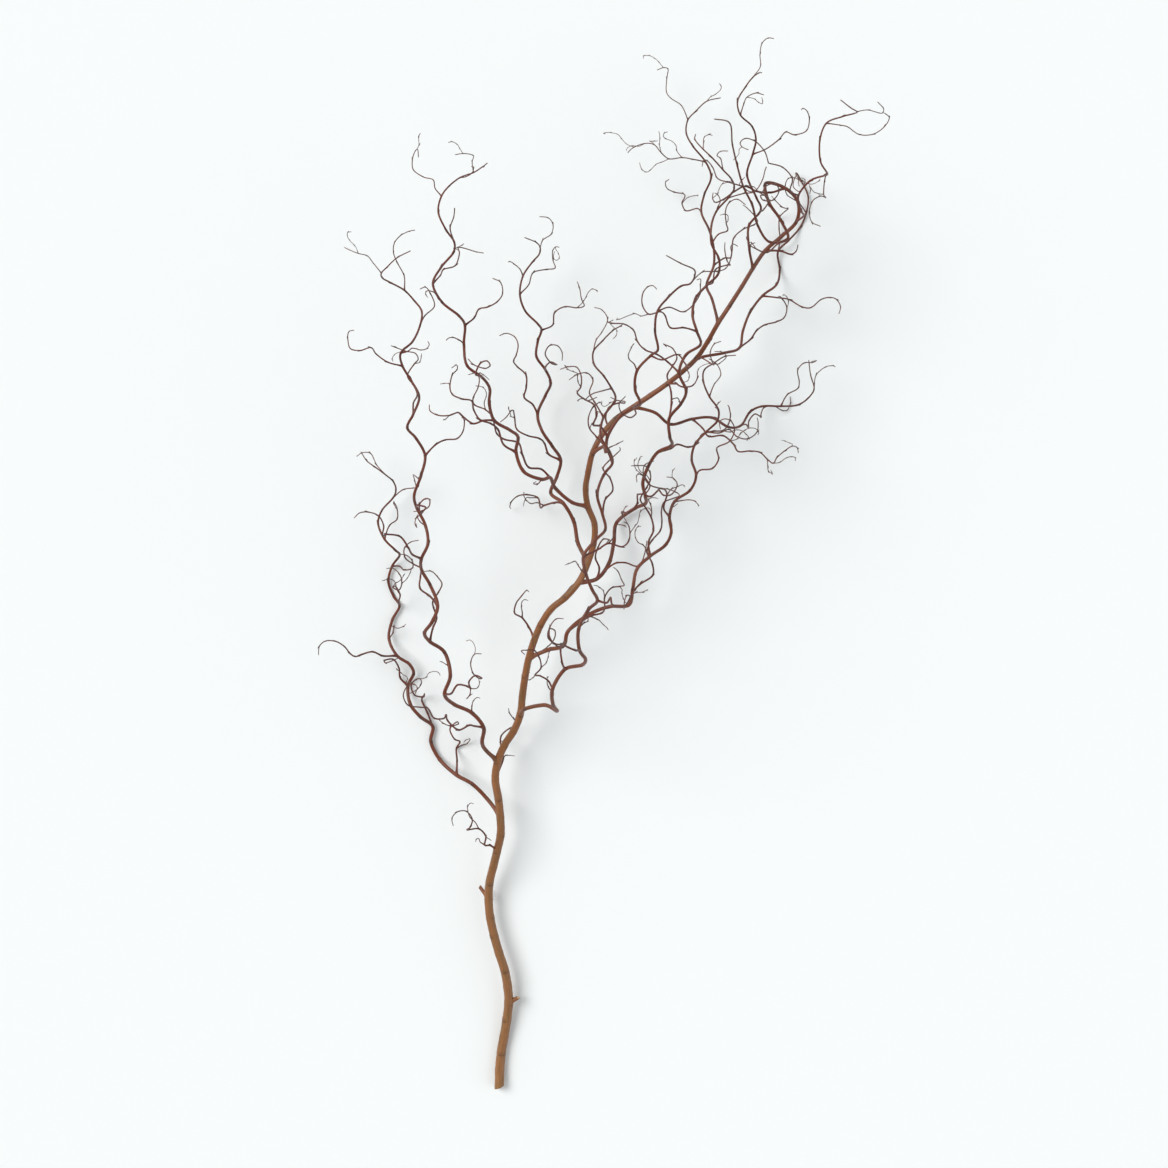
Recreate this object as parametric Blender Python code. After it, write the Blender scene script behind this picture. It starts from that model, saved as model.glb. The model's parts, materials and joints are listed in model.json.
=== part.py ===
"""A cut branch of curly willow, lying on a flat surface.

Metres, +Z up. The branch points along +Y with its cut end at -Y, and it lies on z = 0. The origin
is the small flat under the stem, near the cut end, on which it rests.
"""

import math
import random
from typing import NamedTuple

import bmesh
import bpy
import numpy
from mathutils import Quaternion, Vector

# The stem: its radii, how far apart its nodes are, and the node that lies on the surface
STEM_BUTT_RADIUS = 0.0060
STEM_TIP_RADIUS = 0.0006
STEM_TAPER = 0.85
STEM_INTERNODE = 0.024
STEM_SIDES = 6
STEM_RING_BEND = math.radians(19)
STEM_FOOT = 2
STEM_CURVE_STEPS = 12

# The stem's bends from the cut end to the loop: across, along and above the surface
STEM_BENDS = [
    (-0.002, -0.048, 0.0073),
    (0.000, -0.008, 0.0050),
    (0.006, 0.030, 0.0072),
    (0.011, 0.070, 0.0130),
    (0.008, 0.110, 0.0190),
    (-0.002, 0.147, 0.0200),
    (-0.011, 0.187, 0.0180),
    (-0.012, 0.227, 0.0200),
    (-0.004, 0.267, 0.0300),
    (0.004, 0.307, 0.0390),
    (0.002, 0.347, 0.0420),
    (-0.002, 0.384, 0.0420),
    (0.009, 0.420, 0.0480),
    (0.027, 0.454, 0.0560),
    (0.034, 0.502, 0.0580),
    (0.043, 0.546, 0.0640),
    (0.063, 0.594, 0.0760),
    (0.095, 0.626, 0.0820),
    (0.112, 0.660, 0.0780),
    (0.119, 0.697, 0.0780),
    (0.108, 0.735, 0.0880),
    (0.111, 0.770, 0.1010),
    (0.119, 0.800, 0.1060),
    (0.139, 0.828, 0.1020),
    (0.174, 0.852, 0.0980),
    (0.211, 0.880, 0.1040),
    (0.237, 0.908, 0.1180),
    (0.254, 0.940, 0.1270),
    (0.277, 0.976, 0.1260),
    (0.301, 1.014, 0.1200),
]

# The tight loop near its top: out along its right side, back across, and round under the crossing
LOOP_BENDS = [
    (0.317, 1.034, 0.1170),
    (0.334, 1.046, 0.1180),
    (0.344, 1.060, 0.1220),
    (0.345, 1.076, 0.1280),
    (0.337, 1.090, 0.1340),
    (0.322, 1.099, 0.1390),
    (0.307, 1.102, 0.1430),
    (0.303, 1.094, 0.1480),
    (0.311, 1.080, 0.1490),
    (0.321, 1.065, 0.1480),
    (0.331, 1.050, 0.1450),
    (0.331, 1.038, 0.1410),
    (0.320, 1.034, 0.1390),
    (0.307, 1.041, 0.1390),
    (0.299, 1.054, 0.1420),
]

# From the loop to the tip
TIP_BENDS = [
    (0.295, 1.070, 0.1460),
    (0.287, 1.088, 0.1510),
    (0.277, 1.108, 0.1540),
    (0.273, 1.127, 0.1540),
    (0.268, 1.146, 0.1560),
    (0.265, 1.167, 0.1600),
    (0.256, 1.177, 0.1650),
    (0.247, 1.173, 0.1690),
]

# The shears' cut across the butt, and the stubs that pruning left: node, length past the bark
CUT_SLANT = math.radians(24)
STUBS = [(5, 0.009), (11, 0.014), (19, 0.008)]
STUB_SHARE = 0.42
STUB_SIDES = 6

# Buds stand in a spiral, two turns to five buds, and swell the wood under them
BUD_SPIRAL = math.radians(144)
BUD_LENGTH = 0.0055
BUD_RADIUS = 0.0009
BUD_TIP_RADIUS = 0.0003
BUD_LEAVE = math.radians(20)
BUD_ROOT_DEPTH = 0.4
BUD_SIDES = 3
FIRST_BUD = 2
BUDS_APART_ON_SIDES = 14
BUD_STEP_ON_TWIGS = 3

# Curve points to each internode, and where one shoot grows out of another
STEPS = 4
ROOT_FLARE = 1.2
ROOT_SEAT = 0.82
ROOT_ZONE = 0.014
CLEAR_BETWEEN = 0.0022
TRIES = 14

# How a shoot tapers, shortens its internodes and steadies where its tip starts to hook
SHOOT_TAPER = 0.8
INTERNODE_LOSS = 0.4
HOOK_FROM = 0.6
HOOK_STEADINESS = 0.7

# How much it varies: shares of its habit's own values
TURN_SPREAD = (0.6, 1.4)
SWAY_SPREAD = (0.5, 1.5)
STEP_SPREAD = (0.85, 1.2)
LENGTH_SPREAD = (0.6, 1.5, 0.95)

# The surface at z = 0: what doesn't rest on it stays off it
SURFACE_GAP = 0.0015
SURFACE_PUSH = 0.018
SURFACE_LIFT = 0.5
CORNER_ROOM = 1.3
TOUCH_SHARE = 0.70
ON_SURFACE = 1e-6
DROP_CURVE = 1.5
UP_ALONG_STEM = Vector((0.06, 1.0, 0.05)).normalized()
ACROSS = Vector((1.0, 0.0, 0.1))

BARK_COLOUR = (0.150, 0.047, 0.021, 1.0)
WOOD_COLOUR = (0.62, 0.44, 0.25, 1.0)
BARK, WOOD = 0, 1


class Habit(NamedTuple):
    """How one kind of shoot grows."""

    internode: float  # from node to node
    leave: float  # angle to its parent at the root
    sway: float  # how far each internode leans off the heading
    turn: float  # how far round the heading that lean goes at each node
    pull: float  # how fast the heading comes up along the stem
    curl: float  # how fast the tip hooks over
    root_share: float  # root radius as a share of its parent's
    thickest: float
    tip_radius: float
    sides: int
    ring_bend: float  # how far the solid's tube may bend from one ring to the next


SIDE_SHOOT = Habit(
    internode=0.026,
    leave=math.radians(56),
    sway=0.58,
    turn=math.radians(84),
    pull=0.10,
    curl=0.40,
    root_share=0.62,
    thickest=0.0025,
    tip_radius=0.00055,
    sides=4,
    ring_bend=math.radians(40),
)
TWIG = Habit(
    internode=0.0165,
    leave=math.radians(54),
    sway=0.66,
    turn=math.radians(92),
    pull=0.06,
    curl=0.75,
    root_share=0.66,
    thickest=0.00125,
    tip_radius=0.00048,
    sides=3,
    ring_bend=math.radians(60),
)


class Setting(NamedTuple):
    """How thickly one kind of shoot stands on another."""

    first: int  # its first node
    bare: int  # nodes left bare at the tip
    every: int  # nodes from one shoot to the next
    longest: float
    shortest: float


SIDES_ON_STEM = Setting(first=16, bare=12, every=3, longest=0.86, shortest=0.30)
TWIGS_ON_STEM = Setting(first=14, bare=4, every=4, longest=0.15, shortest=0.09)
TWIGS_ON_SIDES = Setting(first=3, bare=2, every=3, longest=0.19, shortest=0.07)
CROWN_SEED = 7

# The side shoots that carry the crown, each with the node that lies on the surface
FEET = {0: 16, 9: 11}


def clear_scene():
    for item in list(bpy.data.objects):
        bpy.data.objects.remove(item, do_unlink=True)


# Curves


def spline(bends, steps):
    """A centripetal Catmull-Rom curve through the bends, with 'steps' points to each span."""
    ends = [2 * bends[0] - bends[1], *bends, 2 * bends[-1] - bends[-2]]
    curve = []
    for a, b, c, d in zip(ends, ends[1:], ends[2:], ends[3:]):
        at_b = (b - a).length ** 0.5
        at_c = at_b + (c - b).length ** 0.5
        at_d = at_c + (d - c).length ** 0.5
        for step in range(steps):
            at = at_b + (at_c - at_b) * step / steps
            ab = a.lerp(b, at / at_b)
            bc = b.lerp(c, (at - at_b) / (at_c - at_b))
            cd = c.lerp(d, (at - at_c) / (at_d - at_c))
            abc = ab.lerp(bc, at / at_c)
            bcd = bc.lerp(cd, (at - at_b) / (at_d - at_b))
            curve.append(abc.lerp(bcd, (at - at_b) / (at_c - at_b)))
    curve.append(bends[-1])
    return curve


def evenly(curve, spacing):
    """Points along the curve at one spacing, its two ends among them."""
    lengths = [0.0]
    for a, b in zip(curve, curve[1:]):
        lengths.append(lengths[-1] + (b - a).length)
    stops = numpy.linspace(0.0, lengths[-1], round(lengths[-1] / spacing) + 1)
    across, along, above = (numpy.interp(stops, lengths, axis) for axis in zip(*curve))
    return [Vector(point) for point in zip(across, along, above)]


def tangents_of(points):
    before = [points[0], *points[:-1]]
    after = [*points[1:], points[-1]]
    return [(b - a).normalized() for a, b in zip(before, after)]


def square_to(way, tangent):
    """The part of 'way' that is square to the tangent, at length 1."""
    return (way - tangent * way.dot(tangent)).normalized()


def turned(way, axis, angle):
    result = way.copy()
    result.rotate(Quaternion(axis, angle))
    return result


def carried_along(tangents, start):
    """A direction square to the curve, carried along it without twist."""
    ways = [square_to(start, tangents[0])]
    for tangent in tangents[1:]:
        ways.append(square_to(ways[-1], tangent))
    return ways


# Growth


class Shoot:
    """A length of wood from root to tip: its nodes, its radius at each, and where its buds look."""

    def __init__(self, nodes, radii, sides, ring_bend=math.pi, first_bud=0.0, seat=None):
        self.nodes = nodes
        self.radii = radii
        self.sides = sides
        self.ring_bend = ring_bend
        self.seat = seat
        self.ringed = set()
        self.tangents = tangents_of(nodes)
        ways = carried_along(self.tangents, ACROSS)
        self.bud_ways = [
            turned(way, tangent, first_bud + number * BUD_SPIRAL)
            for number, (way, tangent) in enumerate(zip(ways, self.tangents))
        ]

    def seat_at(self, node):
        """The largest root radius that stays buried at this node, whatever its direction."""
        inner_share = corner_share(self.sides) * math.cos(math.pi / self.sides)
        return self.radii[node] * inner_share * ROOT_SEAT

    def heading_at(self, node, leave):
        return self.tangents[node] * math.cos(leave) + self.bud_ways[node] * math.sin(leave)


def corner_share(sides):
    """Corner radius of a regular polygon that has the area of a circle of radius 1."""
    return math.sqrt(math.tau / (sides * math.sin(math.tau / sides)))


def tapering(count, root, tip, taper):
    return [tip + (root - tip) * (1 - number / (count - 1)) ** taper for number in range(count)]


def stem():
    bends = [Vector(bend) for bend in STEM_BENDS + LOOP_BENDS + TIP_BENDS]
    nodes = evenly(spline(bends, STEM_CURVE_STEPS), STEM_INTERNODE)
    radii = tapering(len(nodes), STEM_BUTT_RADIUS, STEM_TIP_RADIUS, STEM_TAPER)
    made = Shoot(nodes, radii, STEM_SIDES, STEM_RING_BEND)
    made.ringed.add(STEM_FOOT)
    return made


def off_surface(radius):
    return SURFACE_GAP + radius * CORNER_ROOM


def lie_down(nodes, radii, foot):
    """Lowers a shoot, more the further out, until its node 'foot' lies on the surface."""
    drop = nodes[foot].z - radii[foot] * TOUCH_SHARE
    for number, (node, radius) in enumerate(zip(nodes, radii)):
        node.z -= drop * min(1.0, number / foot) ** DROP_CURVE
        if number not in (0, foot):
            node.z = max(node.z, off_surface(radius))


def grow(parent, node, length, habit, draws, foot=None):
    """A shoot from one node of its parent: straight at first, then wavy, then hooked."""
    root_radius = min(habit.thickest, parent.radii[node] * habit.root_share)
    count = max(4, round(length / habit.internode))
    radii = tapering(count + 1, root_radius, habit.tip_radius, SHOOT_TAPER)
    heading = parent.heading_at(node, habit.leave)
    lean = turned(square_to(parent.tangents[node], heading), heading, draws.uniform(0.0, math.tau))
    hand = draws.choice((-1, 1))
    nodes = [parent.nodes[node].copy()]
    for number in range(1, count + 1):
        share = number / count
        near_tip = max(0.0, (share - HOOK_FROM) / (1 - HOOK_FROM))
        turn = habit.turn * (1 - HOOK_STEADINESS * near_tip) * draws.uniform(*TURN_SPREAD)
        lean = turned(lean, heading, hand * turn)
        height = max(0.0, nodes[-1].z - off_surface(radii[number]))
        heading += UP_ALONG_STEM * habit.pull * (1 - near_tip) + lean * habit.curl * near_tip
        heading.z += SURFACE_LIFT * math.exp(-height / SURFACE_PUSH)
        heading.normalize()
        lean = square_to(lean, heading)
        sway = 0.0 if number == 1 else habit.sway * draws.uniform(*SWAY_SPREAD)
        step = habit.internode * (1 - INTERNODE_LOSS * share) * draws.uniform(*STEP_SPREAD)
        point = nodes[-1] + (heading + lean * sway).normalized() * step
        point.z = max(point.z, off_surface(radii[number]))
        nodes.append(point)
    if foot:
        lie_down(nodes, radii, foot)
    first_bud = draws.uniform(0.0, math.tau)
    made = Shoot(nodes, radii, habit.sides, habit.ring_bend, first_bud, parent.seat_at(node))
    if foot:
        made.ringed.add(foot)
    return made


def stub(parent, node, length):
    """What pruning left of a side shoot."""
    parent.ringed.add(node)
    radius = parent.radii[node] * STUB_SHARE
    heading = parent.heading_at(node, SIDE_SHOOT.leave)
    end = parent.nodes[node] + heading * (parent.radii[node] + length)
    seat = parent.seat_at(node)
    return Shoot([parent.nodes[node], end], [radius, radius], STUB_SIDES, seat=seat)


def bud(parent, node):
    parent.ringed.add(node)
    root = parent.nodes[node]
    heading = parent.heading_at(node, BUD_LEAVE)
    side = parent.bud_ways[node] * parent.radii[node]
    ends = [root + side * BUD_ROOT_DEPTH, root + side + heading * BUD_LENGTH]
    return Shoot(ends, [BUD_RADIUS, BUD_TIP_RADIUS], BUD_SIDES)


class Crown:
    """The shoots so far, kept clear of each other."""

    def __init__(self, first):
        self.shoots = []
        self.points = numpy.empty((0, 3))
        self.radii = numpy.empty(0)
        self.add(first)

    def add(self, shoot):
        curve = numpy.array(spline(shoot.nodes, STEPS))
        self.shoots.append(shoot)
        self.points = numpy.vstack((self.points, curve))
        self.radii = numpy.concatenate((self.radii, numpy.repeat(shoot.radii, STEPS)[: len(curve)]))

    def takes(self, shoot):
        """Adds the shoot if, past its root, it touches nothing."""
        curve = numpy.array(spline(shoot.nodes, STEPS))
        radii = numpy.repeat(shoot.radii, STEPS)[: len(curve)]
        past_root = numpy.linalg.norm(curve - curve[0], axis=1) > ROOT_ZONE
        apart = numpy.linalg.norm(curve[past_root, None] - self.points[None], axis=2)
        if (apart < radii[past_root, None] + self.radii[None] + CLEAR_BETWEEN).any():
            return False
        self.add(shoot)
        return True

    def furnish(self, parent, setting, habit, draws, feet=None):
        """Sets children on a parent, one at every so many nodes, shorter towards its tip."""
        last = len(parent.nodes) - setting.bare
        made = []
        for node in range(setting.first, last, setting.every):
            share = (node - setting.first) / (last - setting.first)
            typical = setting.longest + (setting.shortest - setting.longest) * share
            foot = (feet or {}).get(len(made))
            for _ in range(TRIES):
                length = typical * draws.triangular(*LENGTH_SPREAD)
                child = grow(parent, node, length, habit, draws, foot)
                if self.takes(child):
                    parent.ringed.add(node)
                    made.append(child)
                    break
        return made


def grow_branch():
    draws = random.Random(CROWN_SEED)
    main = stem()
    crown = Crown(main)
    sides = crown.furnish(main, SIDES_ON_STEM, SIDE_SHOOT, draws, FEET)
    twigs = crown.furnish(main, TWIGS_ON_STEM, TWIG, draws)
    for side in sides:
        twigs += crown.furnish(side, TWIGS_ON_SIDES, TWIG, draws)
    stubs = [stub(main, node, length) for node, length in STUBS]
    buds = []
    for side in sides:
        nodes = range(FIRST_BUD, len(side.nodes) - 1, BUDS_APART_ON_SIDES)
        buds += [bud(side, node) for node in nodes]
    for number, twig in enumerate(twigs[::2]):
        free = len(twig.nodes) - FIRST_BUD - 1
        buds.append(bud(twig, FIRST_BUD + number * BUD_STEP_ON_TWIGS % free))
    return main, sides + twigs + buds, stubs


# Solids


def ring_places(shoot, curve, tangents):
    """Where the tube needs rings: at its ends and forks, and between them as it bends."""
    held = sorted({0, len(curve) - 1, *(node * STEPS for node in shoot.ringed)})
    places = [0]
    for start, end in zip(held, held[1:]):
        bend = sum(tangents[at].angle(tangents[at + 1]) for at in range(start, end))
        runs = max(1, round(bend / shoot.ring_bend))
        places += [start + round((end - start) * run / runs) for run in range(1, runs + 1)]
    return places


def tube(name, shoot, slant=0.0, root_material=BARK, tip_material=BARK):
    """A closed tube round a shoot. Its root flares, but no wider than its seat in the parent."""
    curve = spline(shoot.nodes, STEPS)
    tangents = tangents_of(curve)
    ways = carried_along(tangents, ACROSS)
    corner = corner_share(shoot.sides)
    shape = bmesh.new()
    rings = []
    for number in ring_places(shoot, curve, tangents):
        point, tangent, way = curve[number], tangents[number], ways[number]
        radius = numpy.interp(number / STEPS, range(len(shoot.radii)), shoot.radii) * corner
        if number == 0 and shoot.seat:
            radius = min(radius * ROOT_FLARE, shoot.seat)
        ring = []
        for side in range(shoot.sides):
            angle = math.tau * side / shoot.sides
            spoke = turned(way, tangent, angle) * radius
            if number == 0:
                spoke += tangent * math.tan(slant) * math.cos(angle) * radius
            ring.append(shape.verts.new(point + spoke))
        rings.append(ring)
    for ring, above in zip(rings, rings[1:]):
        for side in range(shoot.sides):
            after = (side + 1) % shoot.sides
            face = shape.faces.new((ring[side], ring[after], above[after], above[side]))
            face.smooth = True
    shape.faces.new(list(reversed(rings[0]))).material_index = root_material
    shape.faces.new(rings[-1]).material_index = tip_material
    mesh = bpy.data.meshes.new(name)
    shape.to_mesh(mesh)
    shape.free()
    for material in MATERIALS:
        mesh.materials.append(material)
    return bpy.data.objects.new(name, mesh)


def material(name, colour, roughness):
    made = bpy.data.materials.new(name)
    made.use_nodes = True
    shader = made.node_tree.nodes["Principled BSDF"]
    shader.inputs["Base Color"].default_value = colour
    shader.inputs["Roughness"].default_value = roughness
    shader.inputs["Metallic"].default_value = 0.0
    return made


def apply_modifiers(thing):
    """Replaces an object's mesh by what its modifiers make of it."""
    graph = bpy.context.evaluated_depsgraph_get()
    made = bpy.data.meshes.new_from_object(thing.evaluated_get(graph))
    thing.modifiers.clear()
    thing.data = made


def join(thing, others):
    """Joins the others to it in one closed body, and removes them."""
    collection = bpy.data.collections.new("joined_shoots")
    bpy.context.scene.collection.children.link(collection)
    for other in others:
        collection.objects.link(other)
    union = thing.modifiers.new("join", "BOOLEAN")
    union.operation = "UNION"
    union.operand_type = "COLLECTION"
    union.collection = collection
    apply_modifiers(thing)
    for other in others:
        bpy.data.objects.remove(other, do_unlink=True)
    bpy.data.collections.remove(collection)


def rest_on_surface(thing):
    """Cuts off what dips below the surface, which leaves a small flat at each low point."""
    shape = bmesh.new()
    shape.from_mesh(thing.data)
    bmesh.ops.bisect_plane(
        shape,
        geom=[*shape.verts, *shape.edges, *shape.faces],
        plane_co=(0.0, 0.0, 0.0),
        plane_no=(0.0, 0.0, -1.0),
        dist=ON_SURFACE,
        clear_outer=True,
    )
    rims = [edge for edge in shape.edges if edge.is_boundary]
    for flat in bmesh.ops.edgeloop_fill(shape, edges=rims)["faces"]:
        flat.smooth = False
        if flat.normal.z > 0:
            flat.normal_flip()
    shape.to_mesh(thing.data)
    shape.free()


def build_branch():
    main, shoots, stubs = grow_branch()
    thing = tube("branch", main, CUT_SLANT, root_material=WOOD)
    bpy.context.scene.collection.objects.link(thing)
    others = [tube(f"shoot_{number}", shoot) for number, shoot in enumerate(shoots)]
    others += [tube(f"stub_{number}", left, tip_material=WOOD) for number, left in enumerate(stubs)]
    join(thing, others)
    rest_on_surface(thing)


clear_scene()
MATERIALS = [material("bark", BARK_COLOUR, 0.45), material("cut_wood", WOOD_COLOUR, 0.7)]
build_branch()
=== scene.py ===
"""A cut branch of curly willow lying on a pale floor, seen from above.

Metres, +Z up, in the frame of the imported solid: +Y runs from the cut end towards the tips, and
the branch lies on z = 0.
"""

import json
import math
import random
from typing import NamedTuple

import bpy
import numpy as np
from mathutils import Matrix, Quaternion, Vector

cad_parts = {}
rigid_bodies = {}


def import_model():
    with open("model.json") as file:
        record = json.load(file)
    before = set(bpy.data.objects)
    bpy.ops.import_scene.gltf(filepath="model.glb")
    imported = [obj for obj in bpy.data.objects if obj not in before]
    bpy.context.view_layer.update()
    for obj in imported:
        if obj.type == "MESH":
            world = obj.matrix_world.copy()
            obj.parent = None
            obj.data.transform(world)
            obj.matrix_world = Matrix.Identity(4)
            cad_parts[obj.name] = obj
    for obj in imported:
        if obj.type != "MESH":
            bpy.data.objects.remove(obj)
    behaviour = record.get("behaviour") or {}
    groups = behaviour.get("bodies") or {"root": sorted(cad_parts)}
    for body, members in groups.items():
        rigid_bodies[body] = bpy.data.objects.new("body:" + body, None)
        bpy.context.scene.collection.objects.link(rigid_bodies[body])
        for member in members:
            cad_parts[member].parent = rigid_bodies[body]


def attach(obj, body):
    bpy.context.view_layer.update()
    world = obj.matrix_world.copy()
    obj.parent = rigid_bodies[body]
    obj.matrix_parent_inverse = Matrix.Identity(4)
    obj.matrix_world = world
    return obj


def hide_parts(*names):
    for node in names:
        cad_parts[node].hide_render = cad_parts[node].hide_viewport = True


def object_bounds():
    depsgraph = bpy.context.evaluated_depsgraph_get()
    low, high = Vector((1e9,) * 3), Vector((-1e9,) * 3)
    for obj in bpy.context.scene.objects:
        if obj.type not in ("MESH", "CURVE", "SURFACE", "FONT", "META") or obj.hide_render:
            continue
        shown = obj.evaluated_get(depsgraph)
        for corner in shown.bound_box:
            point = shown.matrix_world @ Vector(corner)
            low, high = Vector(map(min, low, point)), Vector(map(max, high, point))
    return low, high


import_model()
SOLID_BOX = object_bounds()

# The stem is the shoot that led the branch for three or four summers: twelve millimetres thick
# where it was cut, winding from node to node, thrown into one narrow loop near its tip. Its bark
# is thin and smooth, golden brown, with a low ledge at each node where a leaf once stood.

STEM_BUTT_RADIUS = 0.0060
STEM_TIP_RADIUS = 0.0006
STEM_TAPER = 0.85
STEM_INTERNODE = 0.024
STEM_CURVE_STEPS = 12
STEM_BENDS = [
    (-0.002, -0.048, 0.0073),
    (0.000, -0.008, 0.0050),
    (0.006, 0.030, 0.0072),
    (0.011, 0.070, 0.0130),
    (0.008, 0.110, 0.0190),
    (-0.002, 0.147, 0.0200),
    (-0.011, 0.187, 0.0180),
    (-0.012, 0.227, 0.0200),
    (-0.004, 0.267, 0.0300),
    (0.004, 0.307, 0.0390),
    (0.002, 0.347, 0.0420),
    (-0.002, 0.384, 0.0420),
    (0.009, 0.420, 0.0480),
    (0.027, 0.454, 0.0560),
    (0.034, 0.502, 0.0580),
    (0.043, 0.546, 0.0640),
    (0.063, 0.594, 0.0760),
    (0.095, 0.626, 0.0820),
    (0.112, 0.660, 0.0780),
    (0.119, 0.697, 0.0780),
    (0.108, 0.735, 0.0880),
    (0.111, 0.770, 0.1010),
    (0.119, 0.800, 0.1060),
    (0.139, 0.828, 0.1020),
    (0.174, 0.852, 0.0980),
    (0.211, 0.880, 0.1040),
    (0.237, 0.908, 0.1180),
    (0.254, 0.940, 0.1270),
    (0.277, 0.976, 0.1260),
    (0.301, 1.014, 0.1200),
]
LOOP_BENDS = [
    (0.317, 1.034, 0.1170),
    (0.334, 1.046, 0.1180),
    (0.344, 1.060, 0.1220),
    (0.345, 1.076, 0.1280),
    (0.337, 1.090, 0.1340),
    (0.322, 1.099, 0.1390),
    (0.307, 1.102, 0.1430),
    (0.303, 1.094, 0.1480),
    (0.311, 1.080, 0.1490),
    (0.321, 1.065, 0.1480),
    (0.331, 1.050, 0.1450),
    (0.331, 1.038, 0.1410),
    (0.320, 1.034, 0.1390),
    (0.307, 1.041, 0.1390),
    (0.299, 1.054, 0.1420),
]
TIP_BENDS = [
    (0.295, 1.070, 0.1460),
    (0.287, 1.088, 0.1510),
    (0.277, 1.108, 0.1540),
    (0.273, 1.127, 0.1540),
    (0.268, 1.146, 0.1560),
    (0.265, 1.167, 0.1600),
    (0.256, 1.177, 0.1650),
    (0.247, 1.173, 0.1690),
]
BUD_SPIRAL = math.radians(144)
ACROSS = Vector((1.0, 0.0, 0.1))


def winding(bends, steps):
    """A smooth curve through the bends, with 'steps' points to each span."""
    ends = [2 * bends[0] - bends[1], *bends, 2 * bends[-1] - bends[-2]]
    curve = []
    for a, b, c, d in zip(ends, ends[1:], ends[2:], ends[3:]):
        at_b = (b - a).length ** 0.5
        at_c = at_b + (c - b).length ** 0.5
        at_d = at_c + (d - c).length ** 0.5
        for step in range(steps):
            at = at_b + (at_c - at_b) * step / steps
            ab = a.lerp(b, at / at_b)
            bc = b.lerp(c, (at - at_b) / (at_c - at_b))
            cd = c.lerp(d, (at - at_c) / (at_d - at_c))
            abc = ab.lerp(bc, at / at_c)
            bcd = bc.lerp(cd, (at - at_b) / (at_d - at_b))
            curve.append(abc.lerp(bcd, (at - at_b) / (at_c - at_b)))
    curve.append(bends[-1])
    return curve


def evenly(curve, spacing):
    """Points along the curve at one spacing, its two ends among them."""
    lengths = [0.0]
    for a, b in zip(curve, curve[1:]):
        lengths.append(lengths[-1] + (b - a).length)
    stops = np.linspace(0.0, lengths[-1], round(lengths[-1] / spacing) + 1)
    across, along, above = (np.interp(stops, lengths, axis) for axis in zip(*curve))
    return [Vector(point) for point in zip(across, along, above)]


def square_to(way, tangent):
    return (way - tangent * way.dot(tangent)).normalized()


def turned(way, axis, angle):
    result = way.copy()
    result.rotate(Quaternion(axis, angle))
    return result


class Shoot:
    """A length of wood from root to tip: its nodes, its radius at each, and where its buds look."""

    def __init__(self, nodes, radii, first_bud=0.0, parent=None, root_node=0):
        self.nodes = nodes
        self.radii = radii
        self.forks = set()
        self.parent = parent
        self.root_node = root_node
        before = [nodes[0], *nodes[:-1]]
        after = [*nodes[1:], nodes[-1]]
        self.tangents = [(b - a).normalized() for a, b in zip(before, after)]
        ways = [square_to(ACROSS, self.tangents[0])]
        for tangent in self.tangents[1:]:
            ways.append(square_to(ways[-1], tangent))
        self.bud_ways = [
            turned(way, tangent, first_bud + number * BUD_SPIRAL)
            for number, (way, tangent) in enumerate(zip(ways, self.tangents))
        ]

    def heading_at(self, node, leave):
        return self.tangents[node] * math.cos(leave) + self.bud_ways[node] * math.sin(leave)


def tapering(count, root, tip, taper):
    return [tip + (root - tip) * (1 - number / (count - 1)) ** taper for number in range(count)]


def grow_stem():
    bends = [Vector(bend) for bend in STEM_BENDS + LOOP_BENDS + TIP_BENDS]
    nodes = evenly(winding(bends, STEM_CURVE_STEPS), STEM_INTERNODE)
    return Shoot(nodes, tapering(len(nodes), STEM_BUTT_RADIUS, STEM_TIP_RADIUS, STEM_TAPER))


# Rings stand closer together round a node, where the wood swells under the bud and steps in
# above it. The rest of the relief is long lumps, furrows and the collar round a shoot's root.
RING_CROWDING = 0.7
NODE_SWELLING, LEAST_SWELLING = 0.17, 0.32
SWELLING_GIRTH = 0.0011
SWELLING_REACH, REACH_BY_RADIUS = 0.0009, 0.45
SWELLING_BELOW, SWELLING_ABOVE = 1.5, 0.7
ROUND_SHARE, BUD_SIDE_SHARE = 0.42, 0.95
SCAR_FROM, SCAR_EASE = 0.50, 0.22
SCAR_DROP, SCAR_SAG = -0.20, 0.75
SCAR_WIDTH, SCAR_SPREAD = 0.00024, 0.06
SCAR_HEIGHT = 0.035
LUMPS = [(0.043, 1), (0.029, 2), (0.017, 1), (0.011, 2), (0.0071, 3)]
LUMP_HEIGHT = 0.011
FURROWS = [(9, 0.13), (13, 0.07)]
FURROW_DEPTH, FURROW_DRIFT = 0.010, 2.2
SIDES_WITHOUT_FURROWS = 16
COLLAR_FROM, COLLAR_BY_RADIUS = 0.85, 0.8
COLLAR_REACH, COLLAR_ACROSS, COLLAR_ALONG = 0.0016, 0.30, 0.75
ROOT_INSIDE, NO_LIMIT = 0.86, 1.0
AGE_FROM_PARENT, AGE_BLEND = 0.8, 0.012
TIP_ROUNDING, TIP_BLUNTNESS = 2.6, 0.985
TIP_RISE, CUT_TIP_RISE = 0.1, -0.3
CUT_SLANT = math.radians(24)
CUT_EASE = 2.3
CUT_HOLLOW = 0.0012
GRAIN_SHIFT = 9.0
SKIN_SEED = 23
MAP_GAP, MAP_EDGE = 0.006, 0.004
MAP_FINEST, MAP_TRIES = 200.0, 18
FAN_SHARE = 0.4
MILLI = 1000.0


def crowded(count):
    """Places from 0 up to 1, closer together at both ends."""
    even = np.arange(count) / count
    return even - RING_CROWDING / math.tau * np.sin(math.tau * even)


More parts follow.
